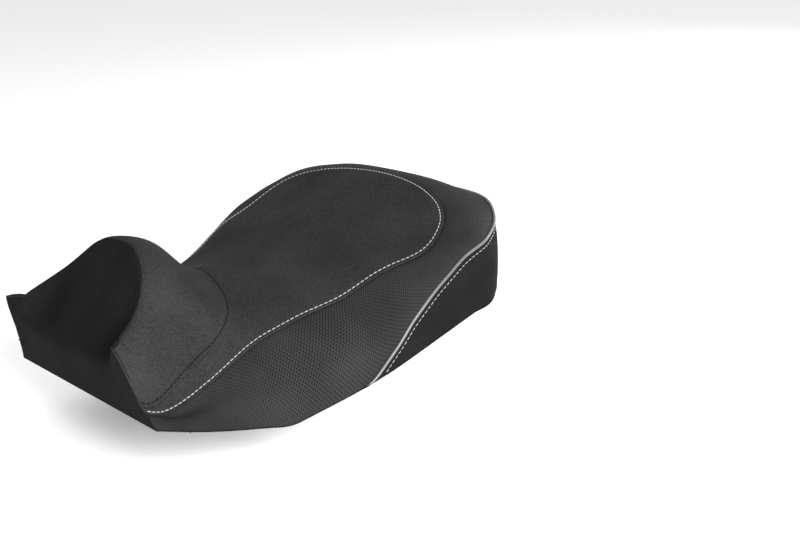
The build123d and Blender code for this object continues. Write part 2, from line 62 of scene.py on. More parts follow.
# Sewing lines of the left half from the front to the middle, as (x, s): s is the place round the
# cross-section, from 0 at the left rim to 0.5 at the middle
LONG_SEAM = [
    (-92, 0.068), (-77, 0.0906), (-64, 0.146), (-51, 0.176), (-28, 0.1805), (-4, 0.1825), (18.5, 0.1850),
    (37, 0.1862), (63, 0.1855), (88, 0.1862), (118, 0.1885), (152, 0.1872), (178, 0.1881), (200, 0.1870),
    (217, 0.1917), (229, 0.1994), (240, 0.2196), (248, 0.2541), (255, 0.3223), (260, 0.4074), (262, 0.5),
]
NOSE_SEAM = [
    (-92, 0.085), (-76, 0.150), (-63, 0.197), (-51, 0.2130), (-30, 0.2190), (-9, 0.2255), (6.5, 0.2350),
    (18, 0.2490), (28, 0.2690), (39.5, 0.3141), (47, 0.3742), (50, 0.4380), (51, 0.5),
]
# The ridge of the nose, where the cover turns down into the hollow for the tank, as (x, s)
RIDGE = [
    (-93, 0.3030), (-84, 0.3150), (-76, 0.3245), (-59, 0.3290), (-43, 0.3300), (-32, 0.3500), (-25, 0.4000),
    (-21, 0.4550), (-20, 0.5),
]
# The direction down the hollow, from the ridge to the front wall
HOLLOW_FALL = np.array(Vector((-1, 0, -1.25)).normalized())
HOLLOW_SAG = 3.0           # how far the hollow sinks below a straight fall, at its middle
RIDGE_ROUND = 38.0         # width and depth of the soft rounding along the ridge
RIDGE_DROP = 10.0
FRONT_EDGE = [(-93, 102), (-74, 30)]     # the front wall's line in side view, as x and height
# The underside of the pan's flange in side view, as x and height. The cover's edge is turned under it
RIM_LINE = [(-120, 40.3), (-72, 31), (36, 9.6), (202, 57), (330, 93)]
# The piping: along the flank as x and height, then round the rear corner as x, half-width and height
PIPING_FLANK = [
    (97, 27.6), (105, 29), (114, 34), (126, 46), (139, 60), (152, 74), (167, 87), (182, 98.5), (201, 110),
    (221, 120),
]
PIPING_REAR = [
    (240, 171, 127), (257, 163.5, 131.5), (271, 155, 138), (281, 143, 145), (289, 128, 150),
    (294, 110, 152.5), (298, 80, 153), (301, 40, 152), (302, 0, 151.5),
]
# The rear end's lower outline in plan, as x and half-width
REAR_OUTLINE = [
    (246, 171.5), (262, 163), (275, 151), (286, 134), (293, 114), (298, 80), (301, 40), (302, 0),
]
HEM = 1.8                  # thickness of the turned-under edge
HEM_TURN = 2.0             # radius of the turn at the lower edge
HEM_WIDTH = 19.0           # how far the cover runs in under the pan
COVER = 1.7                # thickness of the cover as modelled
LIP = 3.6                  # how far a top-stitched edge stands out beyond its thread
TUCK = 2.0                 # how far the lower panel runs in under the upper one, from the thread
ROLL = 34.0                # width of the rounded fall from the seat's rear edge to the piping
STITCH_PITCH = 4.7
STITCH_LENGTH = 3.7
STITCH_RADIUS = 0.40
STITCH_POINTS = 9          # rings along a stitch
STITCH_SIDES = 8
PLY_PITCH = 0.0008         # from ply to ply along a thread, m
PIPING_RADIUS = 1.4
PIPING_SIDES = 18
PIPING_END = 7             # how far the piping stops short of the lower edge
BAND_THREAD = 5.4          # from the piping down to the band's row of stitches
HALF = 361                 # points of the left half of each line that runs round the seat
BELOW_RIM = -0.09          # a place s that is safely below the lower edge


# ---------------------------------------------------------------- curves and the base surface
def cubic(knots, values, at):
    """Natural cubic spline through values (one row per knot), evaluated at the places in at."""
    knots = np.asarray(knots, float)
    values = np.asarray(values, float).reshape(len(knots), -1)
    count = len(knots)
    gap = np.diff(knots)
    system = np.zeros((count, count))
    target = np.zeros_like(values)
    system[0, 0] = system[-1, -1] = 1
    for i in range(1, count - 1):
        system[i, i - 1:i + 2] = gap[i - 1], 2 * (gap[i - 1] + gap[i]), gap[i]
        slope = (values[i + 1] - values[i]) / gap[i]
        target[i] = 6 * (slope - (values[i] - values[i - 1]) / gap[i - 1])
    bend = np.linalg.solve(system, target)
    at = np.asarray(at, float)
    i = np.clip(np.searchsorted(knots, at) - 1, 0, count - 2)
    to_next = (knots[i + 1] - at)[:, None]
    from_last = (at - knots[i])[:, None]
    span = gap[i][:, None]
    curved = (bend[i] * to_next ** 3 + bend[i + 1] * from_last ** 3) / (6 * span)
    before = (values[i] / span - bend[i] * span / 6) * to_next
    after = (values[i + 1] / span - bend[i + 1] * span / 6) * from_last
    return curved + before + after


def smooth_line(points, count):
    """Points evenly spaced along a smooth curve through the given points."""
    p = np.asarray(points, float)
    knots = np.concatenate([[0], np.cumsum(np.linalg.norm(np.diff(p, axis=0), axis=1) ** 0.6)])
    fine = cubic(knots, p, np.linspace(0, knots[-1], 1200))
    return resample(fine, count)


def resample(line, count):
    """The same polyline with its points evenly spaced."""
    length = np.concatenate([[0], np.cumsum(np.linalg.norm(np.diff(line, axis=0), axis=1))])
    at = np.linspace(0, length[-1], count)
    return np.stack([np.interp(at, length, line[:, j]) for j in range(line.shape[1])], 1)


def section_rows():
    """The nine control rows of the base surface as (x, y, z) values per section."""
    xs = [s[0] for s in SECTIONS]
    ys, zs = [], []
    for x, *rows, middle in SECTIONS:
        ys.append([-w for w, z in rows] + [0] + [w for w, z in reversed(rows)])
        zs.append([z for w, z in rows] + [middle] + [z for w, z in reversed(rows)])
    return np.array(xs, float), np.array(ys, float), np.array(zs, float)


ROW_X, ROW_Y, ROW_Z = section_rows()
row_gaps = np.hypot(np.diff(ROW_Y, axis=1), np.diff(ROW_Z, axis=1)).mean(0)
ROW_S = np.concatenate([[0], np.cumsum(row_gaps)])
ROW_S /= ROW_S[-1]


def base(x, s):
    """Points of the base surface, mm. s is 0 at the left rim, 0.5 at the middle and 1 at the right rim."""
    x = np.asarray(x, float).ravel()
    s = np.asarray(s, float).ravel()
    weights = cubic(ROW_S, np.eye(len(ROW_S)), s)
    y = (weights * cubic(ROW_X, ROW_Y, x)).sum(1)
    z = (weights * cubic(ROW_X, ROW_Z, x)).sum(1)
    return np.stack([x, y, z], 1)


def s_at(x, height, highest):
    """Where a section reaches a height on the left flank, below the place called highest, by halving."""
    low = np.full(len(x), BELOW_RIM)
    high = np.full(len(x), highest)
    for _ in range(32):
        middle = (low + high) / 2
        below = base(x, middle)[:, 2] < height
        low = np.where(below, middle, low)
        high = np.where(below, high, middle)
    return (low + high) / 2


def front_x(z):
    """The front edge's x at a height."""
    (x0, z0), (x1, z1) = FRONT_EDGE
    return x0 + (x1 - x0) * (z - z0) / (z1 - z0)


def rim_height(x):
    """The height of the cover's lower edge."""
    xs, zs = zip(*RIM_LINE)
    knee = 14.0            # half the length over which each bend of the line is rounded
    around = np.linspace(-1, 1, 61)
    weight = np.cos(around * math.pi / 2)
    nearby = [np.interp(x + knee * a, xs, zs) * w for a, w in zip(around, weight)]
    return sum(nearby) / weight.sum() - HEM


# ---------------------------------------------------------------- meshes
def unit(vectors):
    """Vectors of length one."""
    return vectors / np.maximum(np.linalg.norm(vectors, axis=-1, keepdims=True), 1e-9)


def grid_normals(points):
    """Unit normals of a grid. Rows run outwards or down, columns from the left front round the rear."""
    return unit(np.cross(np.gradient(points, axis=0), np.gradient(points, axis=1)))


def offset(points, amount):
    """The grid, moved along its normals."""
    return points + grid_normals(points) * amount[..., None]


def run_down(points):
    """Distance along each column of a grid from its first row."""
    step = np.linalg.norm(np.diff(points, axis=0), axis=2)
    return np.concatenate([np.zeros((1, points.shape[1])), np.cumsum(step, axis=0)])


def run_along(points):
    """Distance along a polyline from its first point."""
    return np.concatenate([[0], np.cumsum(np.linalg.norm(np.diff(points, axis=0), axis=1))])


def cloth_uv(points):
    """A grid's place on the flat cloth, mm: the mean distance down its columns and along its rows."""
    down = run_down(points).mean(1)
    along = np.linalg.norm(np.diff(points, axis=1), axis=2).mean(0)
    along = np.concatenate([[0], np.cumsum(along)])
    along -= along[-1] / 2
    return np.stack(np.meshgrid(down, along, indexing="ij"), 2)


def mesh_object(name, verts, faces, uv=None):
    """A smooth-shaded object from vertices in mm, with a UV map in metres."""
    mesh = bpy.data.meshes.new(name)
    mesh.from_pydata((np.asarray(verts) * MM).tolist(), [], faces)
    if uv is not None:
        layer = mesh.uv_layers.new(name="cloth")
        index = np.zeros(len(mesh.loops), np.int32)
        mesh.loops.foreach_get("vertex_index", index)
        layer.data.foreach_set("uv", (np.asarray(uv) * MM)[index].ravel().astype(np.float32))
    mesh.validate()
    mesh.polygons.foreach_set("use_smooth", np.ones(len(mesh.polygons), bool))
    piece = bpy.data.objects.new(name, mesh)
    bpy.context.scene.collection.objects.link(piece)
    return piece


def shell(name, outer, thickness=COVER):
    """A closed sheet of cover: a grid of outer points, mm, and the same grid moved inwards."""
    rows, cols = outer.shape[:2]
    inner = outer - grid_normals(outer) * thickness
    count = rows * cols
    at = np.arange(count).reshape(rows, cols)
    a, b, c, d = at[:-1, :-1].ravel(), at[1:, :-1].ravel(), at[1:, 1:].ravel(), at[:-1, 1:].ravel()
    faces = np.concatenate([np.stack([a, b, c, d], 1), np.stack([d, c, b, a], 1) + count])
    rim = np.concatenate([at[0, :-1], at[:-1, -1], at[-1, :0:-1], at[:0:-1, 0]])
    following = np.roll(rim, -1)
    faces = np.concatenate([faces, np.stack([rim, following, following + count, rim + count], 1)])
    verts = np.concatenate([outer.reshape(-1, 3), inner.reshape(-1, 3)])
    uv = np.tile(cloth_uv(outer).reshape(-1, 2), (2, 1))
    return mesh_object(name, verts, faces.tolist(), uv)


def tube(path, normals, radii, sides):
    """Vertices and faces of a closed tube. radii has one (across, along the normal) pair per point."""
    tangent = unit(np.gradient(path, axis=0))
    normal = unit(normals - (normals * tangent).sum(1, keepdims=True) * tangent)
    across = np.cross(tangent, normal)
    angle = np.linspace(0, 2 * math.pi, sides, endpoint=False)
    ring = (
        across[:, None] * (np.cos(angle)[None, :, None] * radii[:, 0][:, None, None])
        + normal[:, None] * (np.sin(angle)[None, :, None] * radii[:, 1][:, None, None])
    )
    verts = (path[:, None] + ring).reshape(-1, 3)
    faces = []
    for i in range(len(path) - 1):
        for j in range(sides):
            k = (j + 1) % sides
            faces.append((i * sides + k, i * sides + j, (i + 1) * sides + j, (i + 1) * sides + k))
    last = (len(path) - 1) * sides
    faces.append(tuple(range(sides)))
    faces.append(tuple(last + j for j in reversed(range(sides))))
    return verts, faces


# ---------------------------------------------------------------- lines on the surface
def derivatives(line):
    """How the base surface's points move with x and with s, along a line of (x, s)."""
    x, s = line[:, 0], line[:, 1]
    step, turn = 0.5, 0.002
    along = (base(x + step, s) - base(x - step, s)) / (2 * step)
    over = (base(x, s + turn) - base(x, s - turn)) / (2 * turn)
    return along, over


def shifted(line, amount):
    """A line of (x, s), moved along the surface away from the seat's middle by amount, mm."""
    points = base(line[:, 0], line[:, 1])
    along, over = derivatives(line)
    outward = unit(np.cross(unit(np.gradient(points, axis=0)), unit(np.cross(along, over))))
    move = outward * np.reshape(amount, (-1, 1))
    dx = move[:, 0]
    ds = ((move - dx[:, None] * along) * over).sum(1) / (over ** 2).sum(1)
    moved = line + np.stack([dx, ds], 1)
    if abs(line[-1, 1] - 0.5) < 1e-6:
        moved[-1, 1] = 0.5
    return moved


def spaced(line, count):
    """A line of (x, s) with its points evenly spaced on the surface."""
    fine = resample(line, 1500)
    length = run_along(base(fine[:, 0], fine[:, 1]))
    at = np.linspace(0, length[-1], count)
    return np.stack([np.interp(at, length, fine[:, j]) for j in range(2)], 1)


def surface_line(places):
    """A smooth line of the left half through places given as (x, s), from the front edge to the middle."""
    given = np.array(places, float)
    # the mirror image of the last places keeps the line square to the middle
    beyond = given[-4:-1][::-1] * [1, -1] + [0, 1]
    spread = np.array([1, 500])      # s in steps as large as the x steps, so that the knots are even
    fine = smooth_line(np.vstack([given, beyond]) * spread, 2400) / spread
    line = fine[:int(np.argmax(fine[:, 1] >= 0.5)) + 1]
    line[-1, 1] = 0.5
    points = base(line[:, 0], line[:, 1])
    first = int(np.argmax(points[:, 0] >= front_x(points[:, 2])))
    return spaced(line[first:], HALF)


def fitted_to_front(grid):
    """A grid with its first column moved onto the front edge's plane, and the next ones eased after it."""
    reach = 16
    fade = np.linspace(1, 0, reach) ** 1.5
    gap = front_x(grid[:, 0, 2]) - grid[:, 0, 0]
    grid[:, :reach, 0] += gap[:, None] * fade[None]
    return grid


def at_shares(line, shares):
    """A line's points at shares of its length in points."""
    own = np.linspace(0, 1, len(line))
    return np.stack([np.interp(shares, own, line[:, j]) for j in range(line.shape[1])], 1)


def paired(pairs, shares):
    """A smooth, rising match from shares of one line to shares of another, through the given pairs."""
    curve = smooth_line(pairs, 500)
    return np.interp(shares, curve[:, 0], curve[:, 1])


def mirrored_grid(grid):
    """A grid of left-hand points, run on over the middle to the right-hand side."""
    right = grid[:, ::-1][:, 1:].copy()
    right[..., 1] *= -1
    return np.concatenate([grid, right], axis=1)


def mirrored_line(points):
    """A left-hand line of points, run on to the right-hand side."""
    return mirrored_grid(points[None])[0]


def lofted(first, last, shares):
    """The base surface between two left-hand lines of (x, s), with a row at each share of the way."""
    grid = first[None] * (1 - shares[:, None, None]) + last[None] * shares[:, None, None]
    return base(grid[..., 0], grid[..., 1]).reshape(*grid.shape[:2], 3)


def shares_with_fine_ends(count):
    """Shares from 0 to 1 that crowd together towards both ends."""
    t = np.linspace(0, 1, count)
    return t - np.sin(2 * math.pi * t) / (2 * math.pi) * 0.93


long_line = surface_line(LONG_SEAM)
nose_line = surface_line(NOSE_SEAM)
long_points = base(long_line[:, 0], long_line[:, 1])
nose_points = base(nose_line[:, 0], nose_line[:, 1])
ridge_line = surface_line(RIDGE)

columns = np.linspace(0, 1, HALF)    # each point's share of the way from the front to the middle


def fade_in(count):
    """Rises from 0 at the first column, the front, to 1 over a number of columns."""
    return np.clip(np.arange(HALF) / count, 0, 1)


def dent(distance, at, width):
    """The shape of a groove of depth 1 that lies at a distance."""
    return np.exp(-((distance - at) / width) ** 2)


# The fold of a top-stitched edge is narrower towards the front
long_lip = LIP * (0.62 + 0.38 * np.clip(columns / 0.3, 0, 1))


def fold_offset(distance, lip):
    """Height of a top-stitched edge: rolled at the fold, pressed down by the thread, then full."""
    roll = np.sqrt(1 - (1 - np.clip(distance / 1.3, 0, 1)) ** 2)
    full = 0.55 * (1 - dent(distance, 0, 20))
    return -0.35 + 1.1 * roll - 0.55 * dent(distance, lip, 1.0) - full * 0.7


def tucked_offset(distance, lip):
    """Height of the panel that runs in under a fold: low beneath it, a groove at the fold, then level."""
    edge = lip + TUCK
    return -0.9 * dent(distance, 0, edge + 4.0) - 0.5 * dent(distance, edge, 1.1)


def wobble(points, size, amount):
    """A soft unevenness, as cloth over foam has, the same on both sides of a seam."""
    flat = points.reshape(-1, 3) / size
    waves = (
        np.sin(flat[:, 0] * 1.7 + 0.6 * np.sin(flat[:, 2] * 1.3)) * np.cos(flat[:, 1] * 1.1 + 0.4)
        + 0.6 * np.sin(flat[:, 2] * 2.3 + flat[:, 0] * 0.9 + 1.2)
        + 0.5 * np.cos(flat[:, 1] * 2.7 - flat[:, 2] * 1.4)
    )
    return (waves * amount).reshape(points.shape[:2])


# ---------------------------------------------------------------- the piping and the lower edge
fine_x = np.linspace(-90, 306, 397)
fine_s = np.linspace(-0.02, 0.5, 330)
cloud_places = np.stack([np.repeat(fine_x, len(fine_s)), np.tile(fine_s, len(fine_x))], 1)
cloud = base(cloud_places[:, 0], cloud_places[:, 1])


def nearest_places(points):
    """The (x, s) of the base surface nearest to each point, smoothed along the line."""
    found = []
    for p in points:
        near = ((cloud - p) ** 2).sum(1)
        found.append(cloud_places[int(np.argmin(near))])
    found = np.array(found)
    for _ in range(30):
        found[1:-1] = (found[:-2] + 2 * found[1:-1] + found[2:]) / 4
    found[-1, 1] = 0.5
    return found


def rim_points(x):
    """The lower edge of the cover on the left flank, where its turn begins, mm."""
    x = np.asarray(x, float)
    z = rim_height(x) + HEM_TURN
    return base(x, s_at(x, z, ROW_S[2]))


flank_x = np.array([x for x, z in PIPING_FLANK], float)
flank_z = np.array([z for x, z in PIPING_FLANK], float)
flank = base(flank_x, s_at(flank_x, flank_z, ROW_S[2]))
rear = np.array([(x, -w, z) for x, w, z in PIPING_REAR], float)
piping_left = smooth_line(np.vstack([flank, rear]), 500)
piping_left[-1, 1] = 0
tip_x = piping_left[0, 0]
foot_x = FRONT_EDGE[1][0]
side_rim = rim_points(np.linspace(foot_x + 0.2, tip_x, 240))
lower_left = resample(np.vstack([side_rim[:-1], piping_left]), 1600)

rear_outline = np.array([(x, -w) for x, w in REAR_OUTLINE], float)
flank_rim = rim_points(np.linspace(tip_x, 232, 40))
band_rim = smooth_line(np.vstack([flank_rim[:, :2], rear_outline]), 500)
band_rim = np.column_stack([band_rim, rim_height(band_rim[:, 0]) + HEM_TURN])
band_rim[-1, 1] = 0

# ---------------------------------------------------------------- centre panel
nose_share = paired([(0, 0), (0.13, 0.36), (0.25, 0.635), (0.42, 0.80), (0.7, 0.91), (1, 1)], columns)
nose_matched = at_shares(nose_line, nose_share)
centre_inner = shifted(nose_matched, -TUCK)
centre_outer = shifted(long_line, long_lip)
centre_left = fitted_to_front(lofted(centre_inner, centre_outer, shares_with_fine_ends(90)))
inner_run = run_down(centre_left)
outer_run = inner_run[-1] - inner_run
centre_offset = tucked_offset(inner_run, LIP) * np.clip(outer_run / 8, 0, 1)
centre_offset += fold_offset(outer_run, long_lip)
centre_points = mirrored_grid(offset(centre_left, centre_offset + wobble(centre_left, 38, 0.22)))
centre_panel = shell("centre_panel", centre_points)

# ---------------------------------------------------------------- nose panel and front apron
nose_left = fitted_to_front(lofted(ridge_line, shifted(nose_line, LIP), shares_with_fine_ends(84)))
nose_run = run_down(nose_left)
nose_edge = nose_run[-1] - nose_run
rounding = RIDGE_DROP * np.clip(1 - nose_run / RIDGE_ROUND, 0, 1) ** 2 * fade_in(36) ** 2
nose_left = offset(nose_left, -rounding)
nose_left[:, -1, 1] = 0
ridge_points = nose_left[0]
reach = np.zeros(HALF)
for _ in range(40):
    front = ridge_points + HOLLOW_FALL * reach[:, None]
    reach = np.maximum(reach + (front[:, 0] - front_x(front[:, 2])) / -HOLLOW_FALL[0] * 0.9, 0)
front_top = ridge_points + HOLLOW_FALL * reach[:, None]
rim_front_z = rim_height(foot_x) + HEM_TURN
flank_z_rows = np.linspace(rim_front_z, front_top[0, 2], 40)
flank_x_rows = front_x(flank_z_rows)
flank_y_rows = base(flank_x_rows, s_at(flank_x_rows, flank_z_rows, ROW_S[3]))[:, 1]
wall_rows = []
for share in np.linspace(0, 1, 34)[:-1]:
    z = rim_front_z + share * (front_top[:, 2] - rim_front_z)
    y = np.interp(z, flank_z_rows, flank_y_rows) * front_top[:, 1] / front_top[0, 1]
    wall_rows.append(np.column_stack([front_x(z), y, z]))
hollow_rows = []
for share in np.linspace(0, 1, 44)[:-1]:
    sag = 4 * share * (1 - share) * HOLLOW_SAG * reach / max(reach.max(), 1)
    row = front_top + (ridge_points - front_top) * share
    hollow_rows.append(row - sag[:, None] * np.array([-0.53, 0, 0.85]))
apron_left = np.concatenate([np.array(wall_rows), np.array(hollow_rows), ridge_points[None]])
# The bend between the front wall and the hollow is eased, but not at the corners
ease = np.zeros(len(apron_left) - 2)
ease[len(wall_rows) - 7:len(wall_rows) + 5] = 1
ease = ease[:, None, None] * fade_in(14)[None, :, None]
for _ in range(26):
    middle = (apron_left[:-2] + apron_left[2:]) / 2
    apron_left[1:-1] += (middle - apron_left[1:-1]) * 0.5 * ease
apron_rise = wobble(apron_left, 30, 0.2) * fade_in(10)[None]
apron_rise[-1] = -0.8
apron_rise[-2] = -0.5
front_apron = shell("front_apron", mirrored_grid(offset(apron_left, apron_rise)))

nose_offset = fold_offset(nose_edge, LIP) + wobble(nose_left, 34, 0.2)
ridge_roll = 1 - np.sqrt(1 - np.clip(1 - nose_run / 7.0, 0, 1) ** 2)
nose_offset -= 3.0 * ridge_roll * (0.2 + 0.8 * fade_in(16))
nose_offset -= 0.5 * dent(nose_edge, LIP, 0.9)
nose_points_grid = mirrored_grid(offset(nose_left, nose_offset))
nose_panel = shell("nose_panel", nose_points_grid)

# ---------------------------------------------------------------- side panel
outer_share = paired(
    [(0, 0), (0.26, 0.21), (0.375, 0.305), (0.52, 0.46), (0.63, 0.575), (0.705, 0.675), (0.775, 0.77),
     (0.867, 0.88), (1, 1)],
    columns,
)
outer_points = at_shares(lower_left, outer_share)
outer_places = nearest_places(outer_points)
side_left = fitted_to_front(lofted(shifted(long_line, -TUCK), outer_places, shares_with_fine_ends(90)))
side_run = run_down(side_left)
side_edge = side_run[-1] - side_run
residual = outer_points - side_left[-1]
roll = np.clip(1 - side_edge / ROLL, 0, 1) ** 2
side_left = side_left + residual[None] * roll[..., None]
side_offset = tucked_offset(side_run, long_lip)
side_offset += wobble(side_left, 38, 0.22) * np.clip(side_edge / 10, 0, 1)
on_piping = np.clip((outer_points[:, 0] - tip_x - 2) / 12, 0, 1)
side_offset -= 0.9 * on_piping * dent(side_edge, 0, 2.6)
side_panel = shell("side_panel", mirrored_grid(offset(side_left, side_offset)))

# ---------------------------------------------------------------- rear band
shares = shares_with_fine_ends(48)[:, None, None]
band_top = at_shares(piping_left, columns)
rim_shares = paired([(0, 0), (0.45, 0.47), (0.7, 0.72), (1, 1)], columns)
band_low = at_shares(band_rim, rim_shares)
band_left = band_top[None] * (1 - shares) + band_low[None] * shares
band_height = np.linalg.norm(band_low - band_top, axis=1)
band_along = unit(np.gradient(band_low, axis=0))
band_out = unit(np.cross(band_along, [0, 0, 1.0]))
bulge = 3.4 * np.clip(band_height / 55, 0, 1) ** 1.5
band_left = band_left + band_out[None] * bulge[None, :, None] * 4 * shares * (1 - shares)
band_run = run_down(band_left)
groove = -0.9 * dent(band_run, 0, 2.6) * np.clip(band_height / 10, 0, 1)
thread_dip = -0.45 * dent(band_run, BAND_THREAD, 1.2) * np.clip((band_height - 7) / 6, 0, 1)
band_points = mirrored_grid(band_left + band_out[None] * (groove + thread_dip)[..., None])
rear_band = shell("rear_band", band_points)


# ---------------------------------------------------------------- the edge turned under all round
def turned_under(name, edge, width):
    """The cover's edge turned in under the pan, from an edge line where the turn begins."""
    inward = -unit(np.cross(unit(np.gradient(edge, axis=0)), [0, 0, 1.0]))
    inward[..., 2] = 0
    inward = unit(inward)
    rows = []
    for angle in np.linspace(0, math.pi / 2, 7):
        row = edge + inward * HEM_TURN * (1 - math.cos(angle))
        row[:, 2] -= HEM_TURN * math.sin(angle)
        rows.append(row)
    for share in np.linspace(0, 1, 8)[1:]:
        row = edge + inward * (HEM_TURN + (width - HEM_TURN) * share)
        row[:, 2] = rim_height(row[:, 0])
        rows.append(row)
    return shell(name, np.array(rows), HEM * 0.95)


rim_left = np.vstack([side_rim[:-1], resample(band_rim, 320)])
hem_sides = turned_under("hem_sides", mirrored_line(resample(rim_left, 500)), HEM_WIDTH)
hem_front = turned_under("hem_front", mirrored_line(apron_left[0])[::-1], HEM_WIDTH)

# ---------------------------------------------------------------- piping and thread
piping_centre = mirrored_line(piping_left)
piping_flow = unit(np.gradient(piping_centre, axis=0))
piping_out = unit(np.cross(piping_flow, [0, 0, 1.0]))
piping_up = unit(piping_out + np.array([0, 0, 0.35]))
piping_centre = piping_centre - piping_up * 0.1
piping_run = run_along(piping_centre)
ends = np.minimum(piping_run, piping_run[-1] - piping_run)
piping_kept = ends > PIPING_END
piping_centre, piping_up, ends = piping_centre[piping_kept], piping_up[piping_kept], ends[piping_kept]
piping_size = PIPING_RADIUS * (0.45 + 0.55 * np.clip((ends - PIPING_END) / 16, 0, 1))
piping_radii = np.column_stack([piping_size, piping_size])
piping_verts, piping_faces = tube(piping_centre, piping_up, piping_radii, PIPING_SIDES)
piping_round = np.tile(np.arange(PIPING_SIDES) * 0.7, len(piping_centre))
piping_uv = np.column_stack([np.repeat(run_along(piping_centre), PIPING_SIDES), piping_round])
piping = mesh_object("piping_cord", piping_verts, piping_faces, piping_uv)


def thread(name, line, normals, radius=STITCH_RADIUS):
    """A row of stitches along a line: short lengths of thread that dip into the cover at their ends."""
    length = run_along(line)
    count = int(length[-1] / STITCH_PITCH)
    start = (length[-1] - count * STITCH_PITCH) / 2
    verts, faces, uv = [], [], []
    for i in range(count):
        at = start + (i + 0.5) * STITCH_PITCH + np.linspace(-0.5, 0.5, STITCH_POINTS) * STITCH_LENGTH
        path = np.stack([np.interp(at, length, line[:, j]) for j in range(3)], 1)
        up = unit(np.stack([np.interp(at, length, normals[:, j]) for j in range(3)], 1))
        share = np.linspace(-1, 1, STITCH_POINTS)
        arch = 0.28 - 0.75 * share ** 4
        path = path + up * arch[:, None]
        width = radius * (0.45 + 0.55 * np.sqrt(1 - 0.96 * share ** 2))
        part, quads = tube(path, up, np.column_stack([width, width * 0.8]), STITCH_SIDES)
        faces += [tuple(v + len(verts) for v in q) for q in quads]
        verts += part.tolist()
        around = np.tile(np.arange(STITCH_SIDES) * 0.4, STITCH_POINTS)
        uv += np.column_stack([np.repeat(at, STITCH_SIDES), around]).tolist()
    return mesh_object(name, verts, faces, uv)


def on_panel(points, panel_points, rise):
    """A line of points, moved onto a panel's grid of points: the nearest, with its normal."""
    flat = panel_points.reshape(-1, 3)
    normals = grid_normals(panel_points).reshape(-1, 3)
    tree = KDTree(len(flat))
    for i, p in enumerate(flat):
        tree.insert(p, i)
    tree.balance()
    found = [tree.find(p)[1] for p in points]
    normal = normals[found]
    height = ((flat[found] - points) * normal).sum(1, keepdims=True)
    for _ in range(6):
        normal[1:-1] = (normal[:-2] + 2 * normal[1:-1] + normal[2:]) / 4
        height[1:-1] = (height[:-2] + 2 * height[1:-1] + height[2:]) / 4
    normal = unit(normal)
    return points + normal * (height + rise), normal


long_thread_line, long_thread_normal = on_panel(mirrored_line(long_points), centre_points, 0.1)
long_thread = thread("long_seam_thread", long_thread_line, long_thread_normal)
nose_thread_line, nose_thread_normal = on_panel(mirrored_line(nose_points), nose_points_grid, 0.05)
nose_thread = thread("nose_seam_thread", nose_thread_line, nose_thread_normal, STITCH_RADIUS * 0.9)
band_line = []
for j in range(HALF):
    if band_height[j] > BAND_THREAD + 1.5:
        band_line.append([np.interp(BAND_THREAD, band_run[:, j], band_left[:, j, k]) for k in range(3)])
band_line = mirrored_line(np.array(band_line))
band_thread_line, band_thread_normal = on_panel(band_line, band_points, 0.1)
band_thread = thread("band_thread", band_thread_line, band_thread_normal, STITCH_RADIUS * 0.75)


# ---------------------------------------------------------------- materials
def blank(name):
    """A new material, its node tree and its surface shader."""
    made = bpy.data.materials.new(name)
    made.use_nodes = True
    nodes = made.node_tree.nodes
    return made, nodes, made.node_tree.links, nodes["Principled BSDF"]


def math_node(nodes, links, operation, *values):
    """A Math node on values or sockets; gives its output."""
    made = nodes.new("ShaderNodeMath")
    made.operation = operation
    for socket, value in zip(made.inputs, values):
        if isinstance(value, (int, float)):
            socket.default_value = value
        else:
            links.new(value, socket)
    return made.outputs[0]


def weighted(nodes, links, first, first_share, second, second_share):
    """A weighted sum of two sockets; gives its output."""
    scaled = math_node(nodes, links, "MULTIPLY", second, second_share)
    return math_node(nodes, links, "MULTIPLY_ADD", first, first_share, scaled)


def ramp(nodes, links, source, low, high, dark, light):
    """A smooth ramp between two values or two colours as the source goes from low to high."""
    made = nodes.new("ShaderNodeMapRange")
    made.inputs["From Min"].default_value = low
    made.inputs["From Max"].default_value = high
    if isinstance(dark, tuple):
        mix = nodes.new("ShaderNodeMix")
        mix.data_type = "RGBA"
        links.new(source, made.inputs["Value"])
        links.new(made.outputs["Result"], mix.inputs["Factor"])
        mix.inputs["A"].default_value = (*dark, 1)
        mix.inputs["B"].default_value = (*light, 1)
        return mix.outputs["Result"]
    made.inputs["To Min"].default_value = dark
    made.inputs["To Max"].default_value = light
    links.new(source, made.inputs["Value"])
    return made.outputs["Result"]


def noise(nodes, links, place, scale, detail=3.0, roughness=0.55):
    """Noise at a scale per metre."""
    made = nodes.new("ShaderNodeTexNoise")
    made.inputs["Scale"].default_value = scale
    made.inputs["Detail"].default_value = detail
    made.inputs["Roughness"].default_value = roughness
    links.new(place, made.inputs["Vector"])
    return made.outputs["Fac"]


def cells(nodes, links, place, scale):
    """Voronoi cells at a scale per metre."""
    made = nodes.new("ShaderNodeTexVoronoi")
    made.inputs["Scale"].default_value = scale
    links.new(place, made.inputs["Vector"])
    return made.outputs["Distance"]


def bump(nodes, links, shader, height, depth):
    """Gives a shader a bump of a real depth, m."""
    made = nodes.new("ShaderNodeBump")
    made.inputs["Distance"].default_value = depth
    links.new(height, made.inputs["Height"])
    links.new(made.outputs["Normal"], shader.inputs["Normal"])


def place_of(nodes, uv=False):
    """Where on the piece: its own coordinates in metres, or its place on the flat cloth."""
    coords = nodes.new("ShaderNodeTexCoord")
    return coords.outputs["UV" if uv else "Object"]


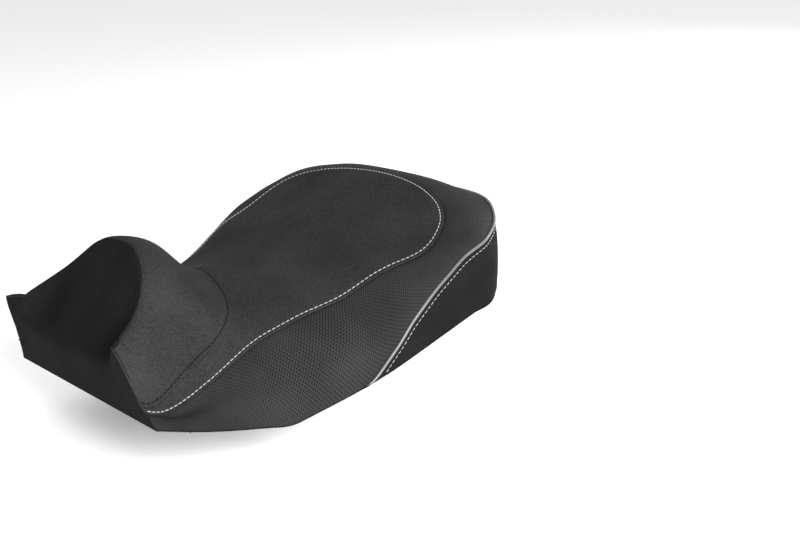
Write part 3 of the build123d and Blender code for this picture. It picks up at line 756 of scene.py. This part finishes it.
def grained_vinyl(name, dark, light, grain, depth, rough, specular):
    """Leather-like vinyl: small round grains with fine creases between them, on uneven soft wear."""
    made, nodes, links, shader = blank(name)
    place = place_of(nodes)
    grains = cells(nodes, links, place, grain)
    fine = noise(nodes, links, place, grain * 1.7, 4)
    broad = noise(nodes, links, place, 16, 3)
    speckle = noise(nodes, links, place, 760, 3, 0.75)
    height = weighted(nodes, links, fine, 0.6, grains, -1.0)
    tone = weighted(nodes, links, speckle, 0.75, broad, 0.25)
    links.new(ramp(nodes, links, tone, 0.4, 0.6, dark, light), shader.inputs["Base Color"])
    links.new(ramp(nodes, links, tone, 0.4, 0.6, rough + 0.06, rough - 0.06), shader.inputs["Roughness"])
    bump(nodes, links, shader, height, depth)
    shader.inputs["Specular IOR Level"].default_value = specular
    return made


def twill_vinyl(name, dark, light, pitch, depth):
    """Vinyl embossed as a twill: raised diagonal ribs, broken into short floats, pitch in metres."""
    made, nodes, links, shader = blank(name)
    place = place_of(nodes, uv=True)
    apart = nodes.new("ShaderNodeSeparateXYZ")
    links.new(place, apart.inputs[0])
    down, along = apart.outputs[0], apart.outputs[1]
    warp = noise(nodes, links, place, 60, 2)
    bent = math_node(nodes, links, "MULTIPLY_ADD", warp, pitch * 0.25, along)
    turn = 2 * math.pi / pitch
    slope = weighted(nodes, links, down, 0.74, bent, 0.67)
    cross = weighted(nodes, links, down, -0.67, bent, 0.74)
    ribs = math_node(nodes, links, "SINE", math_node(nodes, links, "MULTIPLY", slope, turn))
    shift = math_node(nodes, links, "MULTIPLY", ribs, 1.57)
    wave = math_node(nodes, links, "MULTIPLY_ADD", cross, turn * 0.75, shift)
    floats = math_node(nodes, links, "SINE", wave)
    height = math_node(nodes, links, "MULTIPLY_ADD", ribs, 0.7, floats)
    height = ramp(nodes, links, height, -1.6, 1.6, 0.0, 1.0)
    fuzz = noise(nodes, links, place, 2600, 2)
    broad = noise(nodes, links, place, 18, 3)
    # Painted shade: the base colour is darker in the valleys between the ribs and lighter on their tops,
    # over a slow random change of tone.
    tone = weighted(nodes, links, broad, 0.5, height, 0.75)
    links.new(ramp(nodes, links, tone, 0.25, 1.0, dark, light), shader.inputs["Base Color"])
    links.new(ramp(nodes, links, tone, 0.25, 1.0, 0.62, 0.42), shader.inputs["Roughness"])
    relief = math_node(nodes, links, "MULTIPLY_ADD", fuzz, 0.15, height)
    bump(nodes, links, shader, relief, depth)
    shader.inputs["Specular IOR Level"].default_value = 0.035
    return made


def moulded(name, dark, light, rough, texture, depth, broad_scale=14.0, metal=0.0, specular=0.5):
    """A moulded, cast or plated finish: fine texture, slow changes of tone, and slightly worn gloss."""
    made, nodes, links, shader = blank(name)
    place = place_of(nodes)
    fine = noise(nodes, links, place, texture, 5, 0.6)
    pits = cells(nodes, links, place, texture * 0.6)
    broad = noise(nodes, links, place, broad_scale, 4)
    tone = weighted(nodes, links, fine, 0.4, broad, 0.6)
    links.new(ramp(nodes, links, tone, 0.3, 0.7, dark, light), shader.inputs["Base Color"])
    links.new(ramp(nodes, links, tone, 0.3, 0.7, rough + 0.09, rough - 0.07), shader.inputs["Roughness"])
    bump(nodes, links, shader, math_node(nodes, links, "MULTIPLY_ADD", pits, 0.5, fine), depth)
    shader.inputs["Metallic"].default_value = metal
    shader.inputs["Specular IOR Level"].default_value = specular
    return made


def spun_thread(name, dark, light, rough, sheen, specular):
    """Twisted sewing thread: slanting plies with a fine fibre noise."""
    made, nodes, links, shader = blank(name)
    place = place_of(nodes, uv=True)
    apart = nodes.new("ShaderNodeSeparateXYZ")
    links.new(place, apart.inputs[0])
    slant = math_node(nodes, links, "MULTIPLY_ADD", apart.outputs[1], 0.8, apart.outputs[0])
    turned = math_node(nodes, links, "MULTIPLY", slant, 2 * math.pi / PLY_PITCH)
    plies = math_node(nodes, links, "SINE", turned)
    fibre = noise(nodes, links, place, 5000, 3)
    height = math_node(nodes, links, "MULTIPLY_ADD", fibre, 0.8, plies)
    # Painted shade: the base colour is darker in the grooves between the plies, and the fibre noise adds a
    # random change of tone.
    links.new(ramp(nodes, links, height, -0.8, 1.4, dark, light), shader.inputs["Base Color"])
    links.new(ramp(nodes, links, height, -0.8, 1.4, rough + 0.1, rough - 0.08), shader.inputs["Roughness"])
    bump(nodes, links, shader, height, 0.00008)
    shader.inputs["Sheen Weight"].default_value = sheen
    shader.inputs["Specular IOR Level"].default_value = specular
    return made


finishes = {
    "grained_vinyl": grained_vinyl(
        "grained_vinyl_look", (0.0090, 0.0090, 0.0093), (0.0240, 0.0240, 0.0245), 1100, 0.00045, 0.62, 0.03,
    ),
    "twill_vinyl": twill_vinyl(
        "twill_vinyl_painted_rib_shade_look", (0.0050, 0.0050, 0.0052), (0.0255, 0.0255, 0.0262), 0.0020, 0.0004,
    ),
    "smooth_vinyl": grained_vinyl(
        "smooth_vinyl_look", (0.0050, 0.0050, 0.0052), (0.0090, 0.0090, 0.0093), 1900, 0.00022, 0.72, 0.02,
    ),
    "piping_grey": moulded(
        "piping_look", (0.050, 0.050, 0.052), (0.085, 0.085, 0.088), 0.36, 1800, 0.00005,
    ),
    "thread_white": spun_thread(
        "white_thread_painted_ply_shade_look", (0.18, 0.18, 0.18), (0.36, 0.36, 0.35), 0.55, 0.3, 0.4,
    ),
    "thread_black": spun_thread(
        "black_thread_painted_ply_shade_look", (0.0012, 0.0012, 0.0012), (0.003, 0.003, 0.003), 0.8, 0.0, 0.04,
    ),
    "foam": moulded("foam_look", (0.10, 0.10, 0.11), (0.16, 0.16, 0.17), 0.9, 900, 0.0004),
    "soft_foam": moulded("soft_foam_look", (0.30, 0.28, 0.22), (0.40, 0.37, 0.29), 0.9, 900, 0.0004),
    "pan_plastic": moulded(
        "pan_plastic_look", (0.008, 0.008, 0.009), (0.018, 0.018, 0.019), 0.52, 1500, 0.00012,
    ),
    "adjuster_plastic": moulded(
        "adjuster_look", (0.014, 0.014, 0.015), (0.030, 0.030, 0.032), 0.42, 2200, 0.00008,
    ),
    "zinc_steel": moulded(
        "zinc_look", (0.42, 0.43, 0.44), (0.62, 0.62, 0.60), 0.34, 700, 0.00005,
        broad_scale=30.0, metal=1.0,
    ),
    "black_steel": moulded(
        "black_steel_look", (0.010, 0.010, 0.010), (0.026, 0.026, 0.027), 0.36, 1200, 0.00004,
        broad_scale=22.0, specular=0.6,
    ),
    "brass": moulded(
        "brass_look", (0.50, 0.34, 0.12), (0.72, 0.52, 0.22), 0.33, 900, 0.00004,
        broad_scale=40.0, metal=1.0,
    ),
    "rubber": moulded("rubber_look", (0.008, 0.008, 0.008), (0.018, 0.018, 0.018), 0.72, 1300, 0.00015),
}

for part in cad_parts.values():
    for holder in part.material_slots:
        if holder.material:
            given = holder.material.name.split(".")[0]
            holder.material = finishes.get(given, holder.material)

# ---------------------------------------------------------------- pieces, their slots and their CAD nodes
for piece, finish_slot, stood_for in (
    (centre_panel, "grained_vinyl", ("cover_centre_panel", "foam_core", "comfort_foam")),
    (nose_panel, "grained_vinyl", ("cover_nose_panel",)),
    (front_apron, "smooth_vinyl", ()),
    (side_panel, "twill_vinyl", ("cover_side_panel",)),
    (rear_band, "smooth_vinyl", ("cover_rear_band",)),
    (hem_sides, "smooth_vinyl", ("cover_hem",)),
    (hem_front, "smooth_vinyl", ()),
    (piping, "piping_grey", ("piping",)),
    (long_thread, "thread_white", ("long_seam_stitching",)),
    (nose_thread, "thread_black", ("nose_seam_stitching",)),
    (band_thread, "thread_white", ("band_stitching",)),
):
    piece.data.materials.append(finishes[finish_slot])
    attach(piece, "seat")
    if stood_for:
        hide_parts(*stood_for)

# ---------------------------------------------------------------- floor, light and camera
FLOOR_HALF = 6.0
FLOOR_Z = -0.036           # a few mm under the adjuster in its high position
corners = [(x * FLOOR_HALF, y * FLOOR_HALF, FLOOR_Z) for x, y in ((-1, -1), (1, -1), (1, 1), (-1, 1))]
floor_mesh = bpy.data.meshes.new("floor")
floor_mesh.from_pydata(corners, [], [(0, 1, 2, 3)])
floor = bpy.data.objects.new("floor", floor_mesh)
bpy.context.scene.collection.objects.link(floor)
floor_look, _, _, floor_shader = blank("floor_look")
floor_shader.inputs["Base Color"].default_value = (0.86, 0.86, 0.86, 1)
floor_shader.inputs["Roughness"].default_value = 0.85
floor_mesh.materials.append(floor_look)

world = bpy.data.worlds.new("studio")
bpy.context.scene.world = world
world.use_nodes = True
background = world.node_tree.nodes["Background"]
background.inputs["Color"].default_value = (1, 1, 1, 1)
background.inputs["Strength"].default_value = 0.92
bpy.context.scene.view_settings.view_transform = "Standard"


def softbox(name, place, target, size, power):
    """A square area light that faces a point."""
    lamp = bpy.data.lights.new(name, "AREA")
    lamp.energy = power
    lamp.size = size
    holder = bpy.data.objects.new(name, lamp)
    holder.location = place
    holder.rotation_mode = "QUATERNION"
    holder.rotation_quaternion = (Vector(target) - Vector(place)).to_track_quat("-Z", "Y")
    bpy.context.scene.collection.objects.link(holder)


softbox("key", (-0.4, -2.4, 0.9), (0.0, 0, 0.05), 1.0, 175)
softbox("rear", (2.7, -0.1, 0.9), (0.1, 0, 0.05), 1.4, 45)

# The camera that the photograph was taken with, by its place and its axes in the frame, metres
lens = bpy.data.cameras.new("camera")
lens.lens = 59.535
lens.sensor_width = 36.0
lens.clip_start = 0.05
camera = bpy.data.objects.new("camera", lens)
right = Vector((0.7718, -0.6338, -0.0517)).normalized()
back = Vector((-0.5989, -0.7518, 0.2759)).normalized()
up = back.cross(right).normalized()
right = up.cross(back)
place = Vector((-0.526, -1.014, 0.436))
camera.matrix_world = Matrix((
    (right.x, up.x, back.x, place.x),
    (right.y, up.y, back.y, place.y),
    (right.z, up.z, back.z, place.z),
    (0, 0, 0, 1),
))
bpy.context.scene.collection.objects.link(camera)
bpy.context.scene.camera = camera
